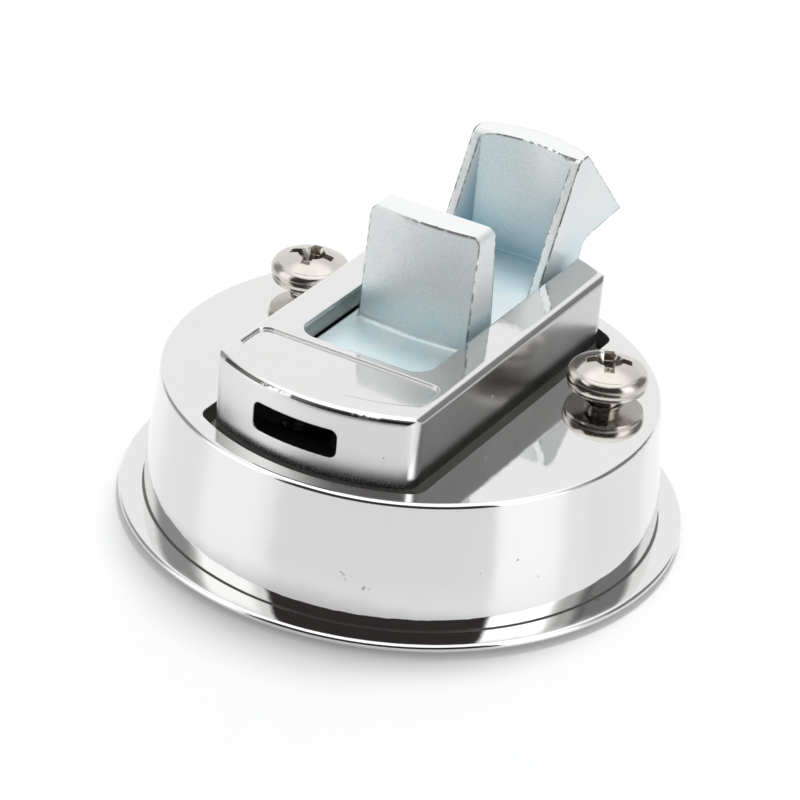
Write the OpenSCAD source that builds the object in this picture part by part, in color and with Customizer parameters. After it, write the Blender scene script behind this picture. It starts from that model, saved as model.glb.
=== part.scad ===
// Flush ring pull slam latch, seen from the back as it lies on its face.
// Frame: origin on the barrel axis in the plane of the flange seat, +Z from the face to the back,
// +X towards the latch bolt. Millimetres.

/* [Shell] */
// Outside diameter of the flange
flange_d = 58; // [57:0.5:64]
// Diameter of the barrel next to the flange
barrel_d = 52.8; // [51.8:0.1:53.6]
// Length of the straight part of the barrel
barrel_straight = 3; // [2:0.25:5]
// Diameter of the barrel at its back rim
barrel_back_d = 50.8; // [50.2:0.1:51.2]
// Height of the back plate above the flange seat
shell_h = 13.6; // [13.2:0.1:16]
// Depth of the flange from its seat to the face it rests on
flange_t = 1.45; // [1.3:0.05:1.8]
// Thickness of the back plate
plate_t = 2; // [1.6:0.1:2.2]
// Diameter of the mouth that the pull lies in
mouth_d = 48.4; // [48.2:0.1:49.2]

/* [Frame] */
// Width of the box behind the back plate
box_w = 22.8; // [22:0.1:23.2]
// Diameter of the circle that the box ends follow
box_d = 44.9; // [44:0.1:45.2]
// Height of the box above the back plate
box_h = 7.45; // [7:0.05:10]
// Gap around the box in the back plate
box_gap = 1; // [0.7:0.05:1.1]
// Width of the slot that the pawl stands in
slot_w = 14.64; // [14.6:0.02:15.2]
// Distance from the axis to the near edge of the slot
slot_near = 11.4; // [10:0.1:12]
// Thickness of the lip and rails
lip_t = 2.3; // [2:0.05:2.4]
// Width of the window in the near wall
window_w = 9.6; // [6:0.2:10.8]
// Height of the window in the near wall
window_h = 3.1; // [2:0.1:3.2]

/* [Pull] */
// Thickness of the pull plate
pull_t = 2.6; // [2:0.1:2.6]
// Gap around the pull plate in the mouth
pull_gap = 0.5; // [0.4:0.05:0.8]
// Radius of the finger hole
hole_r = 18.9; // [16:0.1:19.5]

/* [Pawl] */
// Height of the fin above the lip of the box
fin_h = 10.1; // [6:0.1:10.1]
// Width of the fin
fin_w = 12.5; // [10:0.1:13]
// Width of the bolt
bolt_w = 12.62; // [12:0.02:13]
// Thickness of the side webs of the bolt
web_t = 1; // [0.8:0.05:1.6]
// Thickness of the pawl base
base_t = 2.6; // [2:0.1:2.8]

/* [Hinge and screws] */
// Diameter of the hinge pin
pin_d = 3.5; // [3:0.1:3.6]
// Running clearance of the hinge pin on its radius
pin_clear = 0.04; // [0.02:0.01:0.08]
// Diameter of the spring wire
wire_d = 0.8; // [0.6:0.05:0.8]
// Thread diameter of the clamp screws
screw_d = 4; // [3.5:0.1:4]
// Head diameter of the clamp screws
head_d = 8.4; // [7.5:0.1:8.5]
// Length of thread left standing out of the plate
screw_out = 1.35; // [0.5:0.05:4]
// Further length that the screw on the +Y side stands out
screw_more = 0.45; // [0:0.05:1]

/* [Hidden] */
$fn = 96;
// Overlap of joined solids, run of a cut past the face it opens, gap of seated faces, fit of pressed pieces
eps = 0.01;
over = 1;
seat = 0.05;
press = 0.01;
// Levels along Z
face_z = -flange_t;
plate_z = shell_h - plate_t;
box_top = shell_h + box_h;
lip_z = box_top - lip_t;
brim_t = 2;
brim_z = plate_z - seat - brim_t;
pull_inset = 0.6;
pull_z = face_z + pull_inset;
pull_top = pull_z + pull_t;
base_top = lip_z - seat;
base_z = base_top - base_t;
// Radii of the shell
flange_r = flange_d/2;
barrel_r = barrel_d/2;
barrel_back_r = barrel_back_d/2;
mouth_r = mouth_d/2;
cavity_draft = 0.6;
cavity_back_r = mouth_r - cavity_draft;
rim_round = 0.42;
back_round = 0.5;
// Frame: box, walls and brim
box_r = box_d/2;
box_corner = 2.2;
box_round = 0.85;
wall_t = 2.2;
well_w = box_w - 2*wall_t;
well_r = box_r - 2.15;
well_end = 8;
throat_r = box_r - 0.75;
throat_x = 10;
slot_round = 2.2;
brim_r = cavity_back_r - 0.4;
// Hinge axis
hinge_x = 16;
hinge_z = 5.55;
pin_r = pin_d/2;
hub_r = 2.9;
// Stations along the pin, from the middle outwards
leg_in = 4.6;
leg_out = 7.1;
ear_in = 7.4;
ear_out = 9;
// Pull plate
pull_r = mouth_r - pull_gap;
pull_cut = 13;
swing_x = -2;
swing_r = mouth_r - 0.2;
apron_x = 15.4;
apron_t = 1.85;
hole_x = -2.5;
// Pawl
fin_top = box_top + fin_h;
fin_bow = 32;
fin_front = -0.7;
bolt_half = bolt_w/2;
bolt_top = fin_top + 0.65;
// Springs
turns = 4;
spring_y = 0.4;
coil_gap = 0.2;
coil_pitch = 0.97*wire_d;
coil_mean = pin_r + coil_gap + wire_d/2;
coil_len = (turns - 1)*coil_pitch + wire_d;
arm_x = 6.3;
arm_gap = 0.06;
arm_z = brim_z - 2*arm_gap - wire_d/2;
// Screws and pegs
screw_x = 8.7;
screw_y = 17.6;
screw_len = 12;
boss_r = 3.6;
boss_h = 6;
peg_x = -9;
peg_y = 15.5;
peg_r = 1.5;

// Circle cut by two straight sides, with its four corners rounded tangent to both.
module capped_disc(r, half, round) {
    cx = sqrt(pow(r - round, 2) - pow(half - round, 2));
    cy = half - round;
    far = (r + over)/(r - round);
    difference() {
        intersection() {
            circle(r);
            square([4*r, 2*half], center = true);
        }
        for (sx = [-1, 1], sy = [-1, 1])
            polygon([[sx*cx, sy*cy], [sx*cx, sy*(half + over)], [sx*(r + over), sy*(half + over)],
                     [sx*cx*far, sy*cy*far]]);
    }
    for (sx = [-1, 1], sy = [-1, 1])
        translate([sx*cx, sy*cy]) circle(round);
}

// Rectangle with round corners, lower left corner at the origin.
module round_rect(w, h, round) {
    translate([round, 0]) square([w - 2*round, h]);
    translate([0, round]) square([w, h - 2*round]);
    for (x = [round, w - round], y = [round, h - round])
        translate([x, y]) circle(round);
}

// Half moon left of a straight edge inside a circle, with rounded corners.
module half_moon(r, edge, round) {
    cx = edge - round;
    cy = sqrt(pow(r - round, 2) - cx*cx);
    far = (r + over)/(r - round);
    difference() {
        intersection() {
            circle(r);
            translate([edge - 2*r, -r]) square([2*r, 2*r]);
        }
        for (s = [-1, 1])
            polygon([[cx, s*cy], [edge + over, s*cy], [edge + over, s*(r + over)], [cx*far, s*cy*far]]);
    }
    for (s = [-1, 1])
        translate([cx, s*cy]) circle(round);
}

// Plan shape turned up so that its X and Y lie in the XZ plane, spread along Y.
module along_y(from, to) {
    translate([0, to, 0]) rotate([90, 0, 0]) linear_extrude(to - from) children();
}

// Plan shape turned up so that its X and Y lie in the YZ plane, spread along X.
module along_x(from, to) {
    translate([from, 0, 0]) rotate([90, 0, 90]) linear_extrude(to - from) children();
}

// Bore along the hinge axis.
module hinge_bore(length, r) {
    translate([hinge_x, 0, hinge_z]) rotate([90, 0, 0]) cylinder(h = length, r = r, center = true);
}

// Section of the flange and barrel: thin lifted rim, domed face, drafted barrel with a round back rim.
module shell_section() {
    rim_z = -0.46;
    rim_w = 1.2;
    face_r = mouth_r + 1.6;
    dome_r = face_r + 1.6;
    dome_h = 0.09;
    chamfer = 0.5;
    mouth_h = 3;
    difference() {
        union() {
            translate([flange_r - rim_round, rim_z]) circle(rim_round);
            polygon([[mouth_r - over, rim_z + rim_round], [mouth_r - over, face_z], [face_r, face_z],
                     [dome_r, face_z + dome_h], [flange_r - rim_round, rim_z - rim_round],
                     [flange_r - rim_round, rim_z + rim_round], [flange_r - rim_w, 0], [mouth_r - over, 0]]);
            polygon([[0, -eps], [barrel_r, -eps], [barrel_r, barrel_straight],
                     [barrel_back_r, shell_h - back_round], [barrel_back_r - back_round, shell_h],
                     [0, shell_h]]);
            translate([barrel_back_r - back_round, shell_h - back_round]) circle(back_round);
        }
        polygon([[-over, face_z - over], [mouth_r + chamfer, face_z - over], [mouth_r + chamfer, face_z],
                 [mouth_r, face_z + chamfer], [mouth_r, mouth_h], [cavity_back_r, plate_z], [-over, plate_z]]);
    }
}

module shell() {
    side_gap = 0.2;
    cut_round = 1.8;
    apron_bite = 0.3;
    stake_h = 0.9;
    stake_w = 0.8;
    color([0.86, 0.87, 0.88]) {
        difference() {
            union() {
                rotate_extrude() shell_section();
                // Tapped bosses of the clamp screws
                for (s = [-1, 1])
                    translate([screw_x, s*screw_y, plate_z - boss_h]) cylinder(h = boss_h + eps, r = boss_r);
            }
            translate([0, 0, plate_z - over]) linear_extrude(plate_t + 2*over)
                capped_disc(box_r + box_gap, box_w/2 + box_gap + side_gap, cut_round);
            for (s = [-1, 1])
                translate([screw_x, s*screw_y, 0]) cylinder(h = shell_h + over, r = screw_d/2 + press);
        }
        // Fixed apron at the hinge side of the mouth
        translate([0, 0, pull_z]) linear_extrude(apron_t) intersection() {
            circle(mouth_r + apron_bite);
            translate([apron_x, -mouth_r]) square([mouth_r, 2*mouth_r]);
        }
        // Staked pegs that hold the frame
        for (s = [-1, 1])
            translate([peg_x, s*peg_y, brim_z - seat]) {
                cylinder(h = plate_z - brim_z + seat + eps, r = peg_r);
                translate([0, 0, -stake_h]) cylinder(h = stake_h + eps, r1 = peg_r, r2 = peg_r + stake_w);
            }
    }
}

// Section of one side of the box from its middle outwards, with a round top edge.
module box_section(reach) {
    translate([0, brim_z]) square([reach, box_top - box_round - brim_z]);
    translate([0, brim_z]) square([reach - box_round, box_top - brim_z]);
    translate([reach - box_round, box_top - box_round]) circle(box_round);
}

// Outside of the box: straight sides and round ends, with the top edges rounded all the way.
module box_solid() {
    intersection() {
        translate([0, 0, brim_z]) linear_extrude(box_top - brim_z) capped_disc(box_r, box_w/2, box_corner);
        along_x(-box_r - over, box_r + over) for (s = [0, 1])
            mirror([s, 0]) box_section(box_w/2);
        rotate_extrude() box_section(box_r);
    }
}

// Brim under the back plate, cleared for the screw bosses and the pegs.
module brim() {
    boss_gap = 0.35;
    difference() {
        translate([0, 0, brim_z]) cylinder(h = brim_t, r = brim_r);
        for (s = [-1, 1]) {
            translate([screw_x, s*screw_y, brim_z - over]) cylinder(h = brim_t + 2*over, r = boss_r + boss_gap);
            translate([peg_x, s*peg_y, brim_z - over]) cylinder(h = brim_t + 2*over, r = peg_r + seat);
        }
    }
}

// Slot of the pawl, through the lip and the brim and out at the far end.
module pawl_slot() {
    depth = box_top - brim_z;
    translate([0, 0, brim_z - over]) linear_extrude(depth + 2*over)
        translate([-slot_near, -slot_w/2]) difference() {
            round_rect(throat_r + slot_near, slot_w, slot_round);
            translate([throat_r + slot_near - slot_round, -over]) square([slot_round + over, slot_w + 2*over]);
        }
    translate([0, 0, brim_z - over]) linear_extrude(brim_t + over + seat) intersection() {
        circle(throat_r);
        translate([throat_x, -slot_w/2]) square([throat_r, slot_w]);
    }
    translate([throat_x, -slot_w/2, brim_z + brim_t]) cube([box_r, slot_w, depth]);
}

module frame() {
    lug_back = 4.2;
    lug_front = 3.4;
    relief_w = 0.7;
    relief_top = box_top - 0.9;
    relief_side = 0.2;
    window_y = 0.55;
    window_drop = 0.15;
    window_round = 0.8;
    label_depth = 0.3;
    label_rim = 2.9;
    label_land = 0.9;
    label_side = 1.3;
    label_round = 1.2;
    color([0.82, 0.83, 0.84]) difference() {
        union() {
            box_solid();
            brim();
            // Hinge lugs
            for (s = [-1, 1])
                along_y(s > 0 ? well_w/2 : -box_w/2, s > 0 ? box_w/2 : -well_w/2) {
                    translate([hinge_x, hinge_z]) circle(hub_r);
                    polygon([[hinge_x - hub_r, hinge_z], [hinge_x - lug_back, brim_z + over],
                             [hinge_x + lug_front, brim_z + over], [hinge_x + hub_r, hinge_z]]);
                }
        }
        // Finger well under the lip and rails
        translate([0, 0, brim_z - over]) linear_extrude(lip_z - brim_z + over) intersection() {
            circle(well_r);
            translate([-2*well_r, -well_w/2]) square([2*well_r + well_end, well_w]);
        }
        pawl_slot();
        // Relief under the near edge of the slot for the sweep of the fin
        along_y(relief_side - slot_w/2, slot_w/2 - relief_side)
            polygon([[over - slot_near, relief_top], [-slot_near, relief_top], [-slot_near - relief_w, lip_z],
                     [-slot_near - relief_w, lip_z - over], [over - slot_near, lip_z - over]]);
        // Window in the near wall
        along_x(-box_r - over, wall_t - well_r)
            translate([window_y - window_w/2, lip_z - window_drop - window_h])
                round_rect(window_w, window_h, window_round);
        // Bare label panel in the lip
        translate([0, 0, box_top - label_depth]) linear_extrude(over) intersection() {
            circle(box_r - label_rim);
            translate([-slot_near - label_land - box_r, label_side - box_w/2])
                round_rect(box_r, box_w - label_side - label_land, label_round);
        }
        hinge_bore(box_w + 2*over, pin_r + press);
    }
}

module ring_pull() {
    edge_w = 2.4;
    edge_in = 0.8;
    edge_h = 0.25;
    chamfer = 0.4;
    ear_r = 2.6;
    ear_root = 8;
    ear_bite = 0.5;
    tail_l = 4.4;
    tail_h = 2.3;
    bar_w = 1.3;
    hole_round = 2.5;
    color([0.84, 0.85, 0.86]) difference() {
        union() {
            // Plate with a rolled edge and a slightly domed face
            intersection() {
                rotate_extrude()
                    polygon([[0, pull_z], [pull_r - edge_w, pull_z], [pull_r - edge_in, pull_z + edge_h],
                             [pull_r, pull_z + edge_in], [pull_r, pull_top - chamfer],
                             [pull_r - chamfer, pull_top], [0, pull_top]]);
                translate([pull_cut - 2*pull_r, -pull_r - over, pull_z - over])
                    cube([2*pull_r, 2*pull_r + 2*over, pull_t + 2*over]);
                // Room to swing in the mouth on the hinge side
                translate([swing_x, 0, pull_z - over]) cylinder(h = pull_t + 2*over, r = swing_r);
            }
            // Ears to the hinge pin, with a tail that lifts the heel of the pawl
            for (s = [-1, 1])
                along_y(s > 0 ? ear_in : -ear_out, s > 0 ? ear_out : -ear_in) {
                    translate([hinge_x, hinge_z]) circle(ear_r);
                    polygon([[ear_root, pull_top - ear_bite], [pull_cut, pull_top - ear_bite],
                             [hinge_x + 0.615*ear_r, hinge_z - 0.788*ear_r],
                             [hinge_x - 0.538*ear_r, hinge_z + 0.842*ear_r], [hinge_x - ear_r, hinge_z]]);
                    translate([hinge_x, hinge_z - tail_h/2]) square([tail_l, tail_h]);
                }
            translate([hinge_x + tail_l - bar_w, -ear_out, hinge_z - tail_h/2])
                cube([bar_w, 2*ear_out, tail_h]);
        }
        translate([0, 0, pull_z - over]) linear_extrude(pull_t + 2*over) half_moon(hole_r, hole_x, hole_round);
        hinge_bore(2*ear_out + 2*over, pin_r + pin_clear);
    }
}

// Fin: bowed drafted front with a foot fillet, drafted back, round top corners.
module fin() {
    axis_x = fin_front + fin_bow;
    root_z = base_z + over;
    draft = 0.75;
    foot = 0.6;
    foot_r = fin_bow + draft;
    foot_z = base_top + foot;
    core_r = fin_bow - 8;
    top = 0.5;
    ahead = 6;
    back_foot = 4.4;
    back_top = 3.1;
    corner = 1.1;
    intersection() {
        translate([axis_x, 0, 0]) rotate_extrude() {
            polygon([[core_r, root_z], [foot_r, root_z], [foot_r, foot_z], [fin_bow, fin_top - top],
                     [fin_bow - top, fin_top], [core_r, fin_top]]);
            translate([fin_bow - top, fin_top - top]) circle(top);
            difference() {
                translate([fin_bow - over, root_z]) square([draft + over + foot, foot_z - root_z]);
                translate([foot_r + foot, foot_z]) circle(foot);
            }
        }
        along_y(-fin_w, fin_w) {
            polygon([[-ahead, root_z], [back_foot, root_z], [back_top, fin_top - top],
                     [back_top - top, fin_top], [-ahead, fin_top]]);
            translate([back_top - top, fin_top - top]) circle(top);
        }
        along_x(-ahead - over, ahead + over) translate([-fin_w/2, base_z])
            round_rect(fin_w, fin_top - base_z, corner);
    }
}

// Bolt: leaning open front, bowed wedge back, flat latching face under the hook.
module bolt() {
    slope = 135.82;
    lean = 0.543;
    foot_x = 13.57;
    back_x = 22.3;
    brow = 0.25;
    crest = 2.6;
    hook_x = 33.2;
    hook_z = box_top + 2.05;
    nose = 0.5;
    nose_in = 1.6;
    heel_x = 24.4;
    heel_z = box_top + 0.75;
    heel_in = 1.4;
    heel_drop = 1.3;
    shank = 2.5;
    wedge_r = 16;
    wedge_x = 10.56;
    wedge_z = 10.12;
    intersection() {
        along_y(-bolt_half, bolt_half)
            polygon([[foot_x - lean*base_t, base_z], [foot_x, base_top],
                     [foot_x + lean*(bolt_top - brow - base_top), bolt_top - brow],
                     [foot_x + lean*(bolt_top - base_top) + brow, bolt_top], [back_x + crest, bolt_top + seat],
                     [hook_x, hook_z], [hook_x - 0.6*nose, hook_z - nose],
                     [hook_x - nose_in, hook_z - 1.6*nose], [heel_x, heel_z],
                     [heel_x - 0.64*heel_in, heel_z - 0.3*heel_drop], [heel_x - heel_in, heel_z - heel_drop],
                     [heel_x - shank, base_z]]);
        translate([back_x - wedge_x, 0, bolt_top - wedge_z]) rotate([0, slope, 0])
            cylinder(h = 5*wedge_r, r = wedge_r, center = true);
    }
}

module pawl() {
    base_lap = 1.8;
    base_end = 17;
    base_round = 1.4;
    leg_back = 3.6;
    leg_front = 3.9;
    step_z = 1.25;
    step_x = 2.6;
    pocket_x = 21.4;
    pocket_r = 14;
    pocket_front = 9.6;
    pocket_w = bolt_w - 2*web_t;
    color([0.80, 0.84, 0.86]) difference() {
        union() {
            // Base that reaches under the lip
            translate([-slot_near - base_lap, -leg_out, base_z]) linear_extrude(base_t)
                round_rect(slot_near + base_lap + base_end, 2*leg_out, base_round);
            fin();
            bolt();
            // Legs down to the hinge pin
            for (s = [-1, 1])
                along_y(s > 0 ? leg_in : -leg_out, s > 0 ? leg_out : -leg_in) {
                    translate([hinge_x, hinge_z]) circle(hub_r);
                    polygon([[hinge_x - hub_r, hinge_z], [hinge_x - leg_back, base_z + over],
                             [hinge_x + leg_front, base_z + over], [hinge_x + leg_front, hinge_z + step_z],
                             [hinge_x + step_x, hinge_z + step_z], [hinge_x + hub_r - 2*seat, hinge_z]]);
                }
        }
        // Open pocket of the bolt
        intersection() {
            translate([pocket_front, -pocket_w/2, base_top]) cube([2*pocket_r, pocket_w, bolt_top]);
            translate([pocket_x - pocket_r, 0, base_z]) cylinder(h = bolt_top, r = pocket_r);
        }
        hinge_bore(2*leg_out + 2*over, pin_r + pin_clear);
    }
}

module hinge_pin() {
    short = 0.4;
    chamfer = 0.3;
    color([0.62, 0.63, 0.64]) translate([hinge_x, 0, hinge_z]) rotate([90, 0, 0]) {
        cylinder(h = box_w - 2*short, r = pin_r, center = true);
        for (s = [0, 1])
            mirror([0, 0, s]) translate([0, 0, box_w/2 - short - eps])
                cylinder(h = chamfer, r1 = pin_r, r2 = pin_r - chamfer);
    }
}

// Close wound torsion coil on the hinge pin, from a station along Y.
module coil(from) {
    translate([hinge_x, from, hinge_z]) rotate([-90, 0, 0]) rotate_extrude()
        for (i = [0 : turns - 1])
            translate([coil_mean, wire_d/2 + i*coil_pitch]) circle(wire_d/2, $fn = 32);
}

// Straight wire between two points of the XZ plane at a station along Y.
module wire(a, b, y) {
    translate([a[0], y, a[1]]) rotate([0, atan2(b[0] - a[0], b[1] - a[1]), 0])
        cylinder(h = norm(b - a), r = wire_d/2, $fn = 32);
}

module pawl_spring() {
    lean = 0.9;
    color([0.55, 0.56, 0.57]) {
        coil(spring_y);
        wire([hinge_x - coil_mean, hinge_z], [hinge_x - coil_mean - lean, base_z - arm_gap],
             spring_y + wire_d/2);
        wire([hinge_x, hinge_z + coil_mean], [hinge_x + arm_x, arm_z], spring_y + coil_len - wire_d/2);
    }
}

module pull_spring() {
    reach = 8;
    color([0.55, 0.56, 0.57]) {
        coil(-spring_y - coil_len);
        wire([hinge_x, hinge_z - coil_mean], [hinge_x - reach, pull_top + arm_gap + wire_d/2],
             wire_d/2 - spring_y - coil_len);
        wire([hinge_x, hinge_z + coil_mean], [hinge_x + arm_x, arm_z], -spring_y - wire_d/2);
    }
}

// Pan head screw with a cross recess, axis up, underside of the head at the origin.
module pan_screw() {
    head_h = 2.95;
    dome_r = 7.4;
    r = head_d/2;
    crown_r = r - 0.6;
    bulge = 1.2;
    bulge_z = 0.95;
    rim_in = 0.2;
    rim_h = 0.22;
    wing = 2.3;
    wing_t = 1;
    wing_deep = 1.5;
    socket_deep = 1.9;
    socket_r = 1.5;
    socket_tip = 0.6;
    thread_h = 0.32;
    core = screw_d/2 - thread_h;
    root = core - 0.1;
    pitch = 0.7;
    step = pitch/7;
    difference() {
        rotate_extrude() {
            // Crown, bulging side and sharp lower rim
            intersection() {
                square([crown_r, head_h]);
                translate([0, head_h - dome_r]) circle(dome_r);
            }
            intersection() {
                square([r, head_h]);
                translate([r - bulge, bulge_z]) circle(bulge);
            }
            square([r - rim_in, rim_h]);
        }
        for (a = [20, 110])
            rotate([0, 0, a]) translate([-wing, -wing_t/2, head_h - wing_deep])
                cube([2*wing, wing_t, 2*wing_deep]);
        translate([0, 0, head_h - socket_deep])
            cylinder(h = socket_deep + eps, r1 = socket_tip, r2 = socket_r);
    }
    translate([0, 0, -screw_len]) cylinder(h = screw_len + eps, r = core);
    rotate_extrude()
        for (i = [1 : floor((screw_len - pitch)/pitch)])
            translate([0, -i*pitch])
                polygon([[root, -4.2*step], [root, 1.2*step], [core, step], [screw_d/2, -step],
                         [screw_d/2, -2*step], [core, -4*step]]);
}

module clamp_screws() {
    turn = 8;
    color([0.72, 0.70, 0.68])
        for (s = [-1, 1])
            translate([screw_x, s*screw_y, shell_h + screw_out + (s > 0 ? screw_more : 0)])
                rotate([0, 0, -turn*s]) pan_screw();
}

shell();
frame();
ring_pull();
pawl();
hinge_pin();
pawl_spring();
pull_spring();
clamp_screws();
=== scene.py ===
"""Looks of a flush ring pull slam latch that lies on its face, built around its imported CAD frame."""

import logging
import math
from dataclasses import dataclass
from enum import Enum
from functools import cache
from typing import Iterable, Optional

import bmesh
import bpy
from mathutils import Matrix, Vector


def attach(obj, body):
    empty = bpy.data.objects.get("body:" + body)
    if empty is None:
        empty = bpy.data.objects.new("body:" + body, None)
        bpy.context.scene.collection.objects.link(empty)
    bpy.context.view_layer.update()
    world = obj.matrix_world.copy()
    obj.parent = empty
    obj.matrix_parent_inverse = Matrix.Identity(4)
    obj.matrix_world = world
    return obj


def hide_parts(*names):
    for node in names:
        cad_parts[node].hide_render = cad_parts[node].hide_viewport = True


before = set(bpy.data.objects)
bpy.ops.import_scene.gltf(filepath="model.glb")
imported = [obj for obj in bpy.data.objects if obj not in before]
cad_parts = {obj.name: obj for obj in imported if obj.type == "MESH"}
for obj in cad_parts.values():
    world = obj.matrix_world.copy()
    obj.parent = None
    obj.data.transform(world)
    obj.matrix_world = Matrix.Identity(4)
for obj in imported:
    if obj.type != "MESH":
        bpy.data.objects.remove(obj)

LOG = logging.getLogger("flush_latch")
MM = 0.001
RECESS_BLUR = 0.04 * MM
FLAT = (1.0, 1.0, 0.0)
FALLING = (1.0, 0.0)

Colour = tuple[float, float, float]
Band = tuple[float, float]
Spot = tuple[float, float, float]
Ring = list[bmesh.types.BMEdge]
Link = bpy.types.NodeSocket
Sockets = bpy.types.bpy_prop_collection


class Slot(Enum):
    """Material slot names, kept on the new pieces but not set on their meshes."""

    SHELL = "chrome_shell"
    SPRING = "steel_spring"


class Body(Enum):
    """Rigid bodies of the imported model."""

    FIXED = "body"
    PULL = "pull"
    PAWL = "pawl"


class NodeBench:
    """Small helper that adds and links nodes in one node tree."""

    # A Mix node repeats its sockets for each kind of data; these are the numbers of those for colours.
    MIX_SHARE = 0
    MIX_FIRST = 6
    MIX_SECOND = 7
    MIX_RESULT = 2

    def __init__(self, tree: bpy.types.NodeTree) -> None:
        """Keep the tree that the nodes go into."""
        self.tree = tree

    @classmethod
    def cleared(cls, owner: bpy.types.ID) -> "NodeBench":
        """Empty the node tree of a material or a world.

        Args:
            owner: The material or the world.

        Returns:
            The bench of its tree.
        """
        owner.use_nodes = True
        owner.node_tree.nodes.clear()
        return cls(owner.node_tree)

    def add(self, kind: str, inputs: Optional[dict[int | str, object]] = None, **settings: object) -> bpy.types.Node:
        """Add a node, set its properties and its inputs.

        Args:
            kind: Blender's node type.
            inputs: Input name or number to a value or to a socket to link.
            settings: Properties of the node.

        Returns:
            The new node.
        """
        node = self.tree.nodes.new(kind)
        for name, value in settings.items():
            setattr(node, name, value)
        for name, value in (inputs or {}).items():
            if isinstance(value, bpy.types.NodeSocket):
                self.link(value, node.inputs[name])
            else:
                node.inputs[name].default_value = value
        return node

    def link(self, source: Link, target: Link) -> None:
        """Link an output to an input."""
        self.tree.links.new(source, target)

    def math(self, operation: str, first: object, second: object = 0.0, clamp: bool = False) -> Link:
        """Add a Math node.

        Args:
            operation: Blender's name of the operation.
            first: Value or socket.
            second: Value or socket.
            clamp: Keep the result between 0 and 1.

        Returns:
            The result's socket.
        """
        node = self.add("ShaderNodeMath", {0: first, 1: second}, operation=operation, use_clamp=clamp)
        return node.outputs[0]

    def product(self, *values: object) -> Link:
        """Multiply values and sockets with one another.

        Args:
            values: Two or more values or sockets.

        Returns:
            The product's socket.
        """
        total = values[0]
        for value in values[1:]:
            total = self.math("MULTIPLY", total, value)
        return total

    def scaled(self, value: Link, factor: float, offset: object) -> Link:
        """Multiply a value and add an offset, a value or a socket."""
        return self.add("ShaderNodeMath", {0: value, 1: factor, 2: offset}, operation="MULTIPLY_ADD").outputs[0]

    def vector(self, operation: str, first: object, second: object = (0.0, 0.0, 0.0)) -> Sockets:
        """Add a Vector Math node and return its sockets Vector and Value."""
        return self.add("ShaderNodeVectorMath", {0: first, 1: second}, operation=operation).outputs

    def parts(self, vector: Link) -> Sockets:
        """Split a vector into its sockets X, Y and Z."""
        return self.add("ShaderNodeSeparateXYZ", {"Vector": vector}).outputs

    def normal(self) -> Link:
        """Return the socket of the surface's own normal."""
        return self.add("ShaderNodeNewGeometry").outputs["Normal"]

    def ramp(self, value: Link, low: float, high: float, start: float = 0.0, end: float = 1.0) -> Link:
        """Map a value smoothly from one range to another.

        Args:
            value: Socket to map.
            low: Value that gives start.
            high: Value that gives end.
            start: Result at low.
            end: Result at high.

        Returns:
            The result's socket.
        """
        node = self.add(
            "ShaderNodeMapRange",
            {"Value": value, "From Min": low, "From Max": high, "To Min": start, "To Max": end},
            interpolation_type="SMOOTHSTEP",
        )
        return node.outputs["Result"]

    def mix(self, share: object, first: object, second: object) -> Link:
        """Mix two colours.

        Args:
            share: Share of the second colour, a value or a socket.
            first: Colour or socket.
            second: Colour or socket.

        Returns:
            The mixed colour's socket.
        """
        node = self.add("ShaderNodeMix", data_type="RGBA")
        for index, value in ((self.MIX_SHARE, share), (self.MIX_FIRST, first), (self.MIX_SECOND, second)):
            if isinstance(value, bpy.types.NodeSocket):
                self.link(value, node.inputs[index])
            else:
                node.inputs[index].default_value = (*value, 1.0) if isinstance(value, tuple) else value
        return node.outputs[self.MIX_RESULT]

    def noise(self, place: Link, scale: object, detail: float = 3.0, rough: float = 0.55) -> Link:
        """Add a noise texture.

        Args:
            place: Coordinates.
            scale: Repeats in a metre, a value or a socket.
            detail: Octaves.
            rough: Share that each octave keeps.

        Returns:
            The noise value's socket.
        """
        node = self.add(
            "ShaderNodeTexNoise", {"Vector": place, "Scale": scale, "Detail": detail, "Roughness": rough}
        )
        return node.outputs["Fac"]


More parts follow.
